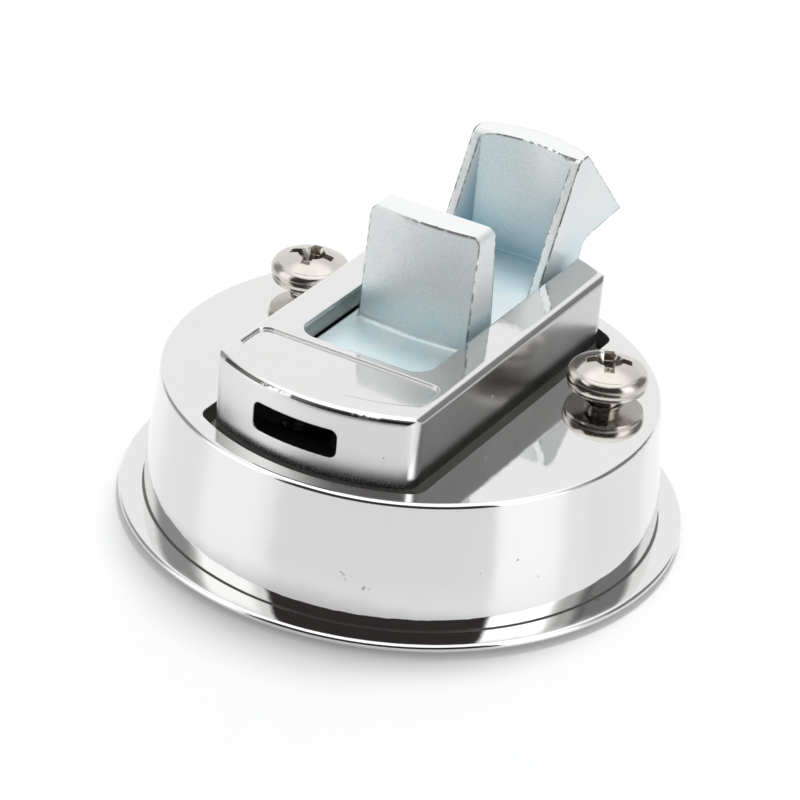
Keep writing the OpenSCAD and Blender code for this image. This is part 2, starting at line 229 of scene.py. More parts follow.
class SurfaceGroups:
    """Shader node groups of the effects on the finishes, each built once."""

    HAZE_SCALE = 120.0
    HAZE_BAND = (0.42, 0.72)
    SCRATCH_TURNS = (0.3, 1.2, 2.2)
    SCRATCH_AXIS = (0.2, 0.3, 0.93)
    SCRATCH_BAND = (0.74, 0.80)
    EDGE_BAND = (0.86, 0.98)
    # Bands of the bright rubbed spots with a painted highlight, and of the grime with painted shade between them.
    WORN_BAND = (0.44, 0.56)
    DIRT_BAND = (0.47, 0.55)
    AHEAD_BAND = (-0.30, -0.12)
    LIP_GRAIN = 1500.0
    LIP_BAND = (0.39, 0.51)
    PATCH_SCALE = 190.0
    PATCH_BAND = (0.36, 0.56)
    PATCH_SHIFT = (-0.16, 0.10)

    @staticmethod
    def _start(
        name: str, inputs: Iterable[tuple[str, float]], outputs: Iterable[str]
    ) -> tuple[NodeBench, Sockets, Sockets]:
        """Open a new group with float sockets.

        Args:
            name: Name of the group.
            inputs: Names and defaults of the inputs after the coordinates.
            outputs: Names of the outputs.

        Returns:
            The group's bench, the sockets that come in and those that go out.
        """
        group = bpy.data.node_groups.new(name, "ShaderNodeTree")
        group.interface.new_socket("Place", in_out="INPUT", socket_type="NodeSocketVector")
        for label, default in inputs:
            socket = group.interface.new_socket(label, in_out="INPUT", socket_type="NodeSocketFloat")
            socket.default_value = default
        for label in outputs:
            group.interface.new_socket(label, in_out="OUTPUT", socket_type="NodeSocketFloat")
        bench = NodeBench(group)
        return bench, bench.add("NodeGroupInput").outputs, bench.add("NodeGroupOutput").inputs

    @classmethod
    @cache
    def plating_skin(cls) -> bpy.types.NodeTree:
        """Build the uneven skin of plated castings.

        Returns:
            A group that puts out a height and a haze value.
        """
        values = (("Ripple Scale", 260.0), ("Grain Scale", 2600.0), ("Grain", 0.3))
        bench, source, sink = cls._start("plating_skin", values, ("Height", "Haze"))
        ripple = bench.noise(source["Place"], source["Ripple Scale"], detail=2.0)
        grain = bench.noise(source["Place"], source["Grain Scale"], rough=0.6)
        bench.link(bench.math("ADD", ripple, bench.product(grain, source["Grain"])), sink["Height"])
        cloud = bench.noise(source["Place"], cls.HAZE_SCALE, detail=4.0, rough=0.6)
        bench.link(bench.ramp(cloud, *cls.HAZE_BAND), sink["Haze"])
        return bench.tree

    @classmethod
    @cache
    def specks(cls) -> bpy.types.NodeTree:
        """Build sparse pinholes and specks of dust.

        Returns:
            A group that puts out a mask of specks.
        """
        values = (("Scale", 420.0), ("Size", 0.07), ("Amount", 0.5))
        bench, source, sink = cls._start("specks", values, ("Mask",))
        cells = bench.add(
            "ShaderNodeTexVoronoi",
            {"Vector": source["Place"], "Scale": source["Scale"], "Randomness": 1.0},
            feature="F1",
        )
        near = bench.math("LESS_THAN", cells.outputs["Distance"], source["Size"])
        pick = bench.add("ShaderNodeSeparateColor", {"Color": cells.outputs["Color"]})
        some = bench.math("LESS_THAN", pick.outputs["Red"], source["Amount"])
        bench.link(bench.product(near, some), sink["Mask"])
        return bench.tree

    @classmethod
    @cache
    def hairlines(cls) -> bpy.types.NodeTree:
        """Build fine hairline scratches of handling.

        Returns:
            A group that puts out a scratch mask.
        """
        bench, source, sink = cls._start("hairlines", (("Length", 150.0), ("Width", 6000.0)), ("Mask",))
        lengths = {"X": source["Length"], "Y": source["Width"], "Z": source["Width"]}
        stretch = bench.add("ShaderNodeCombineXYZ", lengths).outputs[0]
        total: Optional[Link] = None
        for turn in cls.SCRATCH_TURNS:
            lay = {"Vector": source["Place"], "Axis": cls.SCRATCH_AXIS, "Angle": turn}
            drawn = bench.vector("MULTIPLY", bench.add("ShaderNodeVectorRotate", lay).outputs[0], stretch)
            line = bench.ramp(bench.noise(drawn["Vector"], 1.0, detail=0.0), *cls.SCRATCH_BAND)
            total = line if total is None else bench.math("MAXIMUM", total, line)
        bench.link(total, sink["Mask"])
        return bench.tree

    @classmethod
    @cache
    def edge_wear_and_highlight(cls) -> bpy.types.NodeTree:
        """Build the sharp edges of a piece, rubbed bright in spots with a painted highlight and darkened between them
        by grime and painted shade.

        Returns:
            A group that puts out masks of the bright spots, of the dark spots between them and of the whole edges.
        """
        values = (("Radius", 0.25 * MM), ("Grain Scale", 2500.0))
        bench, source, sink = cls._start("edge_wear_and_highlight", values, ("Mask", "Dirt", "Edge"))
        rounded = bench.add("ShaderNodeBevel", {"Radius": source["Radius"]}, samples=12).outputs["Normal"]
        same = bench.vector("DOT_PRODUCT", rounded, bench.normal())["Value"]
        edge = bench.ramp(same, *cls.EDGE_BAND, *FALLING)
        grain = bench.noise(source["Place"], source["Grain Scale"], rough=0.6)
        bench.link(bench.product(edge, bench.ramp(grain, *cls.WORN_BAND)), sink["Mask"])
        bench.link(bench.product(edge, bench.ramp(grain, *cls.DIRT_BAND, *FALLING)), sink["Dirt"])
        bench.link(edge, sink["Edge"])
        return bench.tree

    @classmethod
    @cache
    def front_lips(cls) -> bpy.types.NodeTree:
        """Build the broken dark line along the rounded upper edges of a front: grime with a painted dark reflection.

        Returns:
            A group that puts out a mask of the dark line.
        """
        values = (("Bottom", 0.02), ("Top", 0.021), ("Low", 0.3), ("High", 0.85))
        bench, source, sink = cls._start("front_lips", values, ("Mask",))
        facing = bench.parts(bench.normal())
        height = bench.parts(source["Place"])["Z"]
        grain = bench.noise(source["Place"], cls.LIP_GRAIN, detail=4.0, rough=0.7)
        cloud = bench.noise(source["Place"], cls.PATCH_SCALE, detail=2.0)
        patch = bench.ramp(cloud, *cls.PATCH_BAND, *cls.PATCH_SHIFT)
        mask = bench.product(
            bench.ramp(facing["X"], *cls.AHEAD_BAND, *FALLING),
            bench.math("GREATER_THAN", height, source["Bottom"]),
            bench.math("LESS_THAN", height, source["Top"]),
            bench.math("GREATER_THAN", facing["Z"], source["Low"]),
            bench.math("LESS_THAN", facing["Z"], source["High"]),
            bench.ramp(bench.math("ADD", grain, patch), *cls.LIP_BAND),
        )
        bench.link(mask, sink["Mask"])
        return bench.tree

    @classmethod
    @cache
    def recess_space(cls) -> bpy.types.NodeTree:
        """Build the mask of an upright round or flat-sided space.

        Returns:
            A group that puts out a mask as strong as the depth inside the space.
        """
        values = (("Radius", 0.02), ("Half Width", 0.03), ("Bottom", 0.0), ("Top", 0.01), ("Depth", 1.0))
        bench, source, sink = cls._start("recess_space", values, ("Mask",))
        across = bench.parts(source["Place"])
        flat = bench.vector("MULTIPLY", source["Place"], FLAT)["Vector"]
        limits = (
            (source["Radius"], bench.vector("LENGTH", flat)["Value"]),
            (source["Half Width"], bench.math("ABSOLUTE", across["Y"])),
            (across["Z"], source["Bottom"]),
            (source["Top"], across["Z"]),
        )
        inside = [
            bench.ramp(bench.math("SUBTRACT", larger, smaller), -RECESS_BLUR, RECESS_BLUR) for larger, smaller in limits
        ]
        bench.link(bench.product(source["Depth"], *inside), sink["Mask"])
        return bench.tree


@dataclass(frozen=True)
class Specks:
    """Scatter of small round specks: cells in a metre, share of a cell and share of the cells."""

    scale: float
    size: float
    amount: float


@dataclass(frozen=True)
class Recess:
    """Upright round or flat-sided space inside a casting, painted a darker tone for the shade in it."""

    radius: float
    half_width: float
    bottom: float
    top: float
    depth: float = 1.0
    # Painted shade: the darker tone that the space is given.
    tone: Colour = (0.16, 0.157, 0.15)

    def limits(self) -> dict[str, float]:
        """Return the limits of the space without its tone."""
        return {label: value for label, value in vars(self).items() if label != "tone"}


@dataclass(frozen=True)
class Scar:
    """Small patch of pits in the plating."""

    centre: Spot
    reach: float
    scale: float = 2300.0


class Finish:
    """Material that is built from the node groups and set on a piece."""

    name: str

    def _open(self) -> tuple[bpy.types.Material, NodeBench, bpy.types.Node, Link]:
        """Start the material.

        Returns:
            The material, its bench, its shader node and its Object coordinates.
        """
        material = bpy.data.materials.new(self.name)
        bench = NodeBench.cleared(material)
        shader = bench.add("ShaderNodeBsdfPrincipled")
        bench.add("ShaderNodeOutputMaterial", {"Surface": shader.outputs["BSDF"]})
        return material, bench, shader, bench.add("ShaderNodeTexCoord").outputs["Object"]

    @staticmethod
    def _group(bench: NodeBench, tree: bpy.types.NodeTree, place: Link, **values: float) -> Sockets:
        """Place a node group in a material.

        Args:
            bench: The material's bench.
            tree: The group.
            place: Coordinates for it.
            values: Values of its inputs, with underscores for spaces.

        Returns:
            The group's outputs.
        """
        inputs = {label.replace("_", " ").title(): value for label, value in values.items()}
        return bench.add("ShaderNodeGroup", {"Place": place, **inputs}, node_tree=tree).outputs

    def _specks(self, bench: NodeBench, place: Link, specks: Specks) -> Link:
        """Return the mask of a scatter of specks."""
        return self._group(bench, SurfaceGroups.specks(), place, **vars(specks))["Mask"]

    @staticmethod
    def _bumped(bench: NodeBench, height: Link, strength: float, depth: float, edge: float) -> Link:
        """Bump the surface over shading that is rounded at sharp edges.

        Args:
            bench: The material's bench.
            height: Height of the bump.
            strength: Strength of the bump.
            depth: Depth of the bump in metres.
            edge: Radius of the round in metres, or 0 for none.

        Returns:
            The normal's socket.
        """
        bump = bench.add("ShaderNodeBump", {"Height": height, "Strength": strength, "Distance": depth})
        if edge:
            rounded = bench.add("ShaderNodeBevel", {"Radius": edge}, samples=6).outputs["Normal"]
            bench.link(rounded, bump.inputs["Normal"])
        return bump.outputs["Normal"]

    @staticmethod
    def _paint(bench: NodeBench, shader: bpy.types.Node, colour: Link, rough: Link, normal: Link) -> None:
        """Link what varies over the surface to the shader.

        Args:
            bench: The material's bench.
            shader: The shader node.
            colour: Base colour.
            rough: Roughness.
            normal: Bumped normal.
        """
        for label, socket in (("Base Color", colour), ("Roughness", rough), ("Normal", normal)):
            bench.link(socket, shader.inputs[label])

    def build(self) -> bpy.types.Material:
        """Build the material."""
        raise NotImplementedError


@dataclass(frozen=True)
class ChromeFinish(Finish):
    """Mirror chrome over a polished die casting, with painted shade in its recesses."""

    name: str = "mirror_chrome"
    tint: Colour = (0.80, 0.80, 0.793)
    shade: Colour = (0.45, 0.44, 0.43)
    # Dark colour of grime with painted shade at the foot of the walls, and of grime with a painted dark reflection
    # along the front edges.
    bare: Colour = (0.14, 0.137, 0.13)
    dust: Colour = (0.82, 0.81, 0.79)
    gloss: float = 0.04
    haze: float = 0.03
    scratch: float = 0.03
    side_gloss: float = 0.0
    end_gloss: float = 0.16
    side_tint: Colour = (0.60, 0.60, 0.595)
    bare_gloss: float = 0.55
    ripple: float = 0.010
    grain: float = 0.12
    edge: float = 0.0
    lip_from: float = 0.0
    lip_to: float = 0.0
    lip_low: float = 0.40
    lip_high: float = 0.75
    grime_from: float = 0.0
    grime_to: float = 0.0
    grime_scale: float = 6500.0
    grime_bar: Band = (0.40, 0.72)
    grime_contrast: float = 6.0
    pits: Specks = Specks(scale=330.0, size=0.05, amount=0.16)
    pit_depth: float = 1.5
    dust_specks: Specks = Specks(scale=460.0, size=0.055, amount=0.12)
    recesses: tuple[Recess, ...] = ()
    scars: tuple[Scar, ...] = ()
    scar_swell: Band = (0.10, -0.25)
    scar_band: Band = (0.60, 0.66)
    up_band: Band = (0.2, 0.8)
    end_band: Band = (-0.9, -0.5)
    side_band: Band = (0.75, 0.97)

    def _pitted(self, bench: NodeBench, place: Link, scar: Scar) -> Link:
        """Scatter pits over one scar.

        Args:
            bench: The material's bench.
            place: Object coordinates.
            scar: Patch of pits.

        Returns:
            The mask's socket.
        """
        away = bench.vector("DISTANCE", place, scar.centre)["Value"]
        near = bench.ramp(away, 0.0, scar.reach, *self.scar_swell)
        grains = bench.math("ADD", bench.noise(place, scar.scale, detail=2.0, rough=0.6), near)
        return bench.ramp(grains, *self.scar_band)

    def _grime(self, bench: NodeBench, place: Link) -> Link:
        """Speckle the foot of the walls with dark grains that thin out upwards: grime with painted shade next to the
        gap below.

        Args:
            bench: The material's bench.
            place: Object coordinates.

        Returns:
            The mask's socket.
        """
        bar = bench.ramp(bench.parts(place)["Z"], self.grime_from, self.grime_to, *self.grime_bar)
        grains = bench.noise(place, self.grime_scale, detail=5.0, rough=0.8)
        return bench.math("MULTIPLY", bench.math("SUBTRACT", grains, bar), self.grime_contrast, clamp=True)

    def _dull_sides(self, bench: NodeBench, colour: Link, rough: Link) -> tuple[Link, Link]:
        """Dull the walls that the polishing wheel did not reach, and give the walls that face sideways a darker tone.

        Args:
            bench: The material's bench.
            colour: Base colour so far.
            rough: Roughness so far.

        Returns:
            The new colour and roughness.
        """
        facing = bench.parts(bench.normal())
        rough = bench.math("ADD", rough, bench.ramp(facing["Z"], *self.up_band, self.side_gloss, 0.0))
        rough = bench.math("ADD", rough, bench.ramp(facing["X"], *self.end_band, self.end_gloss, 0.0))
        aside = bench.ramp(bench.math("ABSOLUTE", facing["Y"]), *self.side_band)
        return bench.mix(aside, colour, self.side_tint), rough

    def _soil(self, bench: NodeBench, place: Link, colour: Link, rough: Link) -> tuple[Link, Link]:
        """Add grime with painted shade at the foot of the walls, grime with a painted dark reflection along the front
        edges, the scars and painted shade in the recesses.

        Args:
            bench: The material's bench.
            place: Object coordinates.
            colour: Base colour so far.
            rough: Roughness so far.

        Returns:
            The new colour and roughness.
        """
        # Grime with painted shade: dark grains at the foot of the walls, next to the gap below.
        if self.grime_to:
            dirt = self._grime(bench, place)
            colour = bench.mix(dirt, colour, self.bare)
            rough = bench.math("MAXIMUM", rough, bench.product(dirt, self.bare_gloss))
        # Grime with a painted dark reflection: broken dark line along the rounded front edges.
        if self.lip_to:
            limits = {"bottom": self.lip_from, "top": self.lip_to, "low": self.lip_low, "high": self.lip_high}
            lips = self._group(bench, SurfaceGroups.front_lips(), place, **limits)
            colour = bench.mix(lips["Mask"], colour, self.bare)
        for scar in self.scars:
            colour = bench.mix(self._pitted(bench, place, scar), colour, self.shade)
        # Painted shade: a darker, duller tone inside the recesses and gaps.
        for recess in self.recesses:
            space = self._group(bench, SurfaceGroups.recess_space(), place, **recess.limits())["Mask"]
            colour = bench.mix(space, colour, recess.tone)
            rough = bench.math("MAXIMUM", rough, bench.product(space, self.bare_gloss))
        return colour, rough

    def build(self) -> bpy.types.Material:
        """Build the material.

        Returns:
            The chrome.
        """
        material, bench, shader, place = self._open()
        skin = self._group(bench, SurfaceGroups.plating_skin(), place, grain=self.grain)
        pits = self._specks(bench, place, self.pits)
        lines = self._group(bench, SurfaceGroups.hairlines(), place)["Mask"]
        colour = bench.mix(pits, self.tint, self.shade)
        rough = bench.scaled(lines, self.scratch, bench.scaled(skin["Haze"], self.haze, self.gloss))
        if self.side_gloss:
            colour, rough = self._dull_sides(bench, colour, rough)
        colour, rough = self._soil(bench, place, colour, rough)
        dust = self._specks(bench, place, self.dust_specks)
        colour = bench.mix(dust, colour, self.dust)
        bench.link(bench.math("SUBTRACT", 1.0, dust), shader.inputs["Metallic"])
        height = bench.math("SUBTRACT", skin["Height"], bench.product(pits, self.pit_depth))
        self._paint(bench, shader, colour, rough, self._bumped(bench, height, self.ripple, MM, self.edge))
        return material


@dataclass(frozen=True)
class ZincFinish(Finish):
    """Zinc plating with a pale blue passivation over a sandy casting."""

    name: str = "blue_zinc"
    silver: Colour = (0.99, 0.985, 0.975)
    blue: Colour = (0.77, 0.95, 0.98)
    # Bluer passivation with painted shade in the hollows.
    deep: Colour = (0.28, 0.49, 0.62)
    # Bright rubbed edges with a painted highlight.
    worn: Colour = (0.92, 0.92, 0.91)
    # Grime with painted shade along the edges, and with a painted dark reflection on the front edges.
    dirt: Colour = (0.17, 0.175, 0.175)
    # Painted shade: a greyer tone on the upward faces of the tops.
    crown: Colour = (0.83, 0.84, 0.84)
    grit: Colour = (0.60, 0.65, 0.66)
    gloss: float = 0.31
    haze: float = 0.10
    metal: float = 0.40
    sand: float = 0.33
    sand_depth: float = 0.12 * MM
    edge: float = 0.32 * MM
    edge_shine: float = 0.18
    wear: float = 0.55 * MM
    wear_grain: float = 1500.0
    hollow: float = 14.0 * MM
    deep_band: Band = (0.26, 0.52)
    open_band: Band = (0.50, 0.68)
    blue_low: float = 18.0 * MM
    blue_high: float = 25.0 * MM
    blue_least: float = 0.25
    blue_patches: float = 160.0
    patch_band: Band = (0.35, 0.7)
    patch_lift: float = 0.45
    fleck_scale: float = 4600.0
    fleck_band: Band = (0.38, 0.58)
    fleck_share: float = 0.36
    crown_from: float = 23.0 * MM
    crown_to: float = 25.0 * MM
    crown_band: Band = (0.6, 0.9)
    lip_from: float = 23.0 * MM
    lip_to: float = 33.0 * MM
    lip_low: float = 0.48
    lip_side: Band = (-1.0 * MM, 4.5 * MM)
    lip_fade: Band = (1.0, 0.15)

    def _passivated(self, bench: NodeBench, place: Link, height: Link) -> Link:
        """Tint the zinc blue in patches that grow towards the foot.

        Args:
            bench: The material's bench.
            place: Object coordinates.
            height: Height above the face.

        Returns:
            The colour's socket.
        """
        low = bench.ramp(height, self.blue_low, self.blue_high, 1.0, self.blue_least)
        patch = bench.ramp(bench.noise(place, self.blue_patches), *self.patch_band)
        share = bench.math("MULTIPLY", low, bench.math("ADD", patch, self.patch_lift), clamp=True)
        return bench.mix(share, self.silver, self.blue)

    def build(self) -> bpy.types.Material:
        """Build the material.

        Returns:
            The zinc.
        """
        material, bench, shader, place = self._open()
        skin = self._group(
            bench, SurfaceGroups.plating_skin(), place, ripple_scale=1300.0, grain_scale=5200.0, grain=0.5
        )
        across = bench.parts(place)
        colour = self._passivated(bench, place, across["Z"])
        # Bluer passivation with painted shade in the hollows, where the ambient occlusion is strong.
        room = bench.add("ShaderNodeAmbientOcclusion", {"Distance": self.hollow}, samples=8, only_local=True)
        colour = bench.mix(bench.ramp(room.outputs["AO"], *self.deep_band, *FALLING), colour, self.deep)
        grains = bench.noise(place, self.fleck_scale, detail=4.0, rough=0.85)
        colour = bench.mix(bench.ramp(grains, *self.fleck_band, self.fleck_share, 0.0), colour, self.grit)
        # Painted shade: a greyer tone on the upward faces of the tops.
        high = bench.ramp(across["Z"], self.crown_from, self.crown_to)
        upward = bench.ramp(bench.parts(bench.normal())["Z"], *self.crown_band)
        colour = bench.mix(bench.product(high, upward), colour, self.crown)
        airy = bench.ramp(room.outputs["AO"], *self.open_band)
        edges = self._group(bench, SurfaceGroups.edge_wear_and_highlight(), place, radius=self.wear, grain_scale=self.wear_grain)
        # Rubbed edges with a painted highlight, and grime with painted shade between the bright spots.
        colour = bench.mix(bench.product(edges["Mask"], airy), colour, self.worn)
        colour = bench.mix(bench.product(edges["Dirt"], airy), colour, self.dirt)
        # Grime with a painted dark reflection along the rounded front edges of the tops.
        limits = {"bottom": self.lip_from, "top": self.lip_to, "low": self.lip_low}
        lips = self._group(bench, SurfaceGroups.front_lips(), place, **limits)
        near = bench.ramp(across["Y"], *self.lip_side, *self.lip_fade)
        colour = bench.mix(bench.product(lips["Mask"], near), colour, self.dirt)
        edge = bench.product(edges["Edge"], airy)
        rough = bench.scaled(skin["Haze"], self.haze, self.gloss)
        rough = bench.math("SUBTRACT", rough, bench.product(edge, self.edge_shine))
        bench.link(bench.ramp(edge, 0.0, 1.0, self.metal, 1.0), shader.inputs["Metallic"])
        normal = self._bumped(bench, skin["Height"], self.sand, self.sand_depth, self.edge)
        self._paint(bench, shader, colour, rough, normal)
        return material


@dataclass(frozen=True)
class SteelFinish(Finish):
    """Bright turned or drawn steel, plain or nickel plated."""

    name: str = "bright_steel"
    tint: Colour = (0.70, 0.66, 0.61)
    shade: Colour = (0.50, 0.46, 0.42)
    gloss: float = 0.17
    haze: float = 0.12
    scratch: float = 0.08
    stain: float = 0.45
    pits: Specks = Specks(scale=900.0, size=0.12, amount=0.15)
    grain: float = 0.08
    grain_depth: float = 0.1 * MM
    edge: float = 0.12 * MM

    def build(self) -> bpy.types.Material:
        """Build the material.

        Returns:
            The steel.
        """
        material, bench, shader, place = self._open()
        skin = self._group(
            bench, SurfaceGroups.plating_skin(), place, ripple_scale=700.0, grain_scale=5000.0, grain=0.5
        )
        pits = self._specks(bench, place, self.pits)
        lines = self._group(bench, SurfaceGroups.hairlines(), place, length=300.0)["Mask"]
        stain = bench.math("MAXIMUM", bench.product(skin["Haze"], self.stain), pits)
        colour = bench.mix(stain, self.tint, self.shade)
        rough = bench.scaled(lines, self.scratch, bench.scaled(skin["Haze"], self.haze, self.gloss))
        shader.inputs["Metallic"].default_value = 1.0
        normal = self._bumped(bench, skin["Height"], self.grain, self.grain_depth, self.edge)
        self._paint(bench, shader, colour, rough, normal)
        return material


def shown(name: str, work: bmesh.types.BMesh) -> bpy.types.Object:
    """Turn a working mesh into an object of the scene.

    Args:
        name: Name of the object and its mesh.
        work: The working mesh, which is freed.

    Returns:
        The object.
    """
    mesh = bpy.data.meshes.new(name)
    work.to_mesh(mesh)
    work.free()
    piece = bpy.data.objects.new(name, mesh)
    bpy.context.scene.collection.objects.link(piece)
    return piece


@dataclass
class CadPiece:
    """CAD node that keeps its shape and gets a finish."""

    node: str
    finish: Finish

    def dress(self) -> bpy.types.Object:
        """Set the finish on the node's object.

        Returns:
            The object.
        """
        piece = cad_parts[self.node]
        piece.data.materials.clear()
        piece.data.materials.append(self.finish.build())
        return piece


@dataclass(frozen=True)
class Rim:
    """Quarter round of a turned rim, given by the ring that its centre runs on."""

    ring: float
    height: float
    radius: float
    slack: float = 0.02 * MM

    def normal(self, point: Vector) -> Optional[Vector]:
        """Work out the true normal of a point on the round.

        Args:
            point: Point of the mesh.

        Returns:
            The normal, or None off the round.
        """
        flat = Vector((point.x, point.y, 0.0))
        out, rise = flat.length - self.ring, point.z - self.height
        if min(out, rise) < -self.slack or abs(math.hypot(out, rise) - self.radius) > self.slack:
            return None
        return (flat.normalized() * out + Vector((0.0, 0.0, rise))).normalized()


@dataclass
class SmoothPiece(CadPiece):
    """CAD node shown by a merged copy of its mesh, whose rounds shade without facets."""

    body: Body
    slot: Slot
    rim: Rim
    sharp: float = 26.0
    weld: float = 0.002 * MM

    def dress(self) -> bpy.types.Object:
        """Copy and merge the node's mesh, smooth it and set the finish on the copy.

        Returns:
            The copy.
        """
        work = bmesh.new()
        work.from_mesh(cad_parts[self.node].data)
        bmesh.ops.remove_doubles(work, verts=work.verts, dist=self.weld)
        bmesh.ops.dissolve_degenerate(work, edges=work.edges, dist=self.weld)
        for face in work.faces:
            face.smooth = True
        piece = shown(f"{self.node}_skin", work)
        piece.data.set_sharp_from_angle(angle=math.radians(self.sharp))
        piece.data.materials.append(self.finish.build())
        piece.modifiers.new("weighted", "WEIGHTED_NORMAL").keep_sharp = True
        self._true_rim(piece)
        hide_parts(self.node)
        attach(piece, self.body.value)
        return piece

    def _true_rim(self, piece: bpy.types.Object) -> None:
        """Settle the weighted normals and give the rim's round its true ones.

        Args:
            piece: The copy with its modifier.
        """
        settled = piece.evaluated_get(bpy.context.evaluated_depsgraph_get())
        mesh = bpy.data.meshes.new_from_object(settled)
        piece.modifiers.clear()
        piece.data = mesh
        normals = [Vector(corner.vector) for corner in mesh.corner_normals]
        for face in mesh.polygons:
            true = [self.rim.normal(mesh.vertices[index].co) for index in face.vertices]
            if all(true):
                for loop, normal in zip(face.loop_indices, true):
                    normals[loop] = normal
        mesh.normals_split_custom_set(normals)


@dataclass
class TorsionSpring(CadPiece):
    """Torsion spring: a coil with an arm on the brim, and a leg whose first bend slides in the coil as it winds up."""

    slot: Slot
    presses: Body
    tip: Vector
    enter: float
    sweep: float
    rise: float = 2.328 * MM
    hinge_x: float = 16.0 * MM
    hinge_z: float = 5.55 * MM
    mean: float = 2.35 * MM
    wire: float = 0.4 * MM
    slim: float = 0.92
    arm: float = 6.8 * MM
    seat: float = 70.0
    lead: float = 85.0
    level: float = 160.0
    sides: int = 12
    step: float = 10.0

    def dress(self) -> bpy.types.Object:
        """Wind the leg for the piece that it presses on and the coil that stands in for the node.

        Returns:
            The coil.
        """
        leg = self._on_coil(self.enter, self.tip.y) - self.tip
        start = Matrix.Translation(self.tip) @ leg.to_track_quat("Z", "Y").to_matrix().to_4x4()
        work, ring = self._open_end(start, self.wire * self.slim)
        self._wind(work, self._push(work, ring, leg), self.lead)
        LOG.info("wound %s", self._settle(work, "leg", self.presses).name)
        work, ring = self._open_end(self._turned(self.seat) @ Matrix.Translation(leg) @ start, self.wire)
        ring = self._wind(work, ring, self.level - self.seat)
        ring = self._wind(work, ring, self.sweep - self.level, self.rise)
        leave = math.radians(self.enter + self.sweep)
        self._push(work, ring, Vector((-math.sin(leave), 0.0, math.cos(leave))) * self.arm)
        coil = self._settle(work, "wire", Body.FIXED)
        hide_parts(self.node)
        return coil

    def _open_end(self, place: Matrix, radius: float) -> tuple[bmesh.types.BMesh, Ring]:
        """Start a wire with an open ring.

        Args:
            place: Place and direction of the ring.
            radius: Radius of the wire.

        Returns:
            The new mesh and the ring's edges.
        """
        work = bmesh.new()
        bmesh.ops.create_circle(work, segments=self.sides, radius=radius, matrix=place)
        return work, work.edges[:]

    def _turned(self, angle: float) -> Matrix:
        """Return the turn about the hinge in the way that the wire is wound."""
        hinge = Matrix.Translation((self.hinge_x, 0.0, self.hinge_z))
        return hinge @ Matrix.Rotation(-math.radians(angle), 4, "Y") @ hinge.inverted()

    def _wind(self, work: bmesh.types.BMesh, ring: Ring, angle: float, rise: float = 0.0) -> Ring:
        """Wind the wire on round the hinge.

        Args:
            work: The mesh.
            ring: Edges of the open end.
            angle: Degrees to wind.
            rise: Way along Y.

        Returns:
            The edges of the new end.
        """
        steps = round(angle / self.step)
        wound = bmesh.ops.spin(
            work,
            geom=ring + list({vert for edge in ring for vert in edge.verts}),
            cent=(self.hinge_x, 0.0, self.hinge_z),
            axis=(0.0, -1.0, 0.0),
            angle=math.radians(angle),
            steps=steps,
            dvec=(0.0, rise / steps, 0.0),
        )
        return [item for item in wound["geom_last"] if isinstance(item, bmesh.types.BMEdge)]

    def _settle(self, work: bmesh.types.BMesh, label: str, body: Body) -> bpy.types.Object:
        """Close the wire's ends and make it a piece with its finish.

        Args:
            work: The mesh.
            label: Last word of the piece's name.
            body: Body that it rides on.

        Returns:
            The piece.
        """
        for face in work.faces:
            face.smooth = True
        bmesh.ops.holes_fill(work, edges=[edge for edge in work.edges if edge.is_boundary], sides=self.sides)
        bmesh.ops.recalc_face_normals(work, faces=work.faces)
        piece = shown(f"{self.node}_{label}", work)
        piece.data.materials.append(self.finish.build())
        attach(piece, body.value)
        return piece

    def _on_coil(self, turn: float, along: float) -> Vector:
        """Return the point of the coil's mean circle at an angle and a station along Y."""
        angle = math.radians(turn)
        return Vector((self.hinge_x + self.mean * math.cos(angle), along, self.hinge_z + self.mean * math.sin(angle)))

    @staticmethod
    def _push(work: bmesh.types.BMesh, edges: Ring, way: Vector) -> Ring:
        """Push a ring of edges out into a straight piece of wire.

        Args:
            work: The mesh.
            edges: Edges of the open end.
            way: Direction and length.

        Returns:
            The edges of the new end.
        """
        out = bmesh.ops.extrude_edge_only(work, edges=edges)["geom"]
        bmesh.ops.translate(work, verts=[item for item in out if isinstance(item, bmesh.types.BMVert)], vec=way)
        return [item for item in out if isinstance(item, bmesh.types.BMEdge)]


@dataclass(frozen=True)
class Card:
    """Dark or bright card beside the table, as the metal sees it, in degrees round the object."""

    azimuth: float
    half_width: float
    softness: float
    level: float
    top: float = 40.0
    fade: float = 4.0

    def shade(self, bench: NodeBench, way: Link, height: Link) -> Link:
        """Work out how dark or bright the card makes each direction.

        Args:
            bench: The world's bench.
            way: Direction laid flat and of length one.
            height: Sine of the direction's elevation.

        Returns:
            A factor that is 1 off the card.
        """
        turn = math.radians(self.azimuth)
        facing = bench.vector("DOT_PRODUCT", way, (math.cos(turn), math.sin(turn), 0.0))["Value"]
        outer = math.cos(math.radians(self.half_width + self.softness))
        inner = math.cos(math.radians(self.half_width - self.softness))
        low = math.sin(math.radians(self.top - self.fade))
        high = math.sin(math.radians(self.top + self.fade))
        cover = bench.product(bench.ramp(facing, outer, inner), bench.ramp(height, low, high, *FALLING))
        return bench.math("SUBTRACT", 1.0, bench.product(cover, 1.0 - self.level))


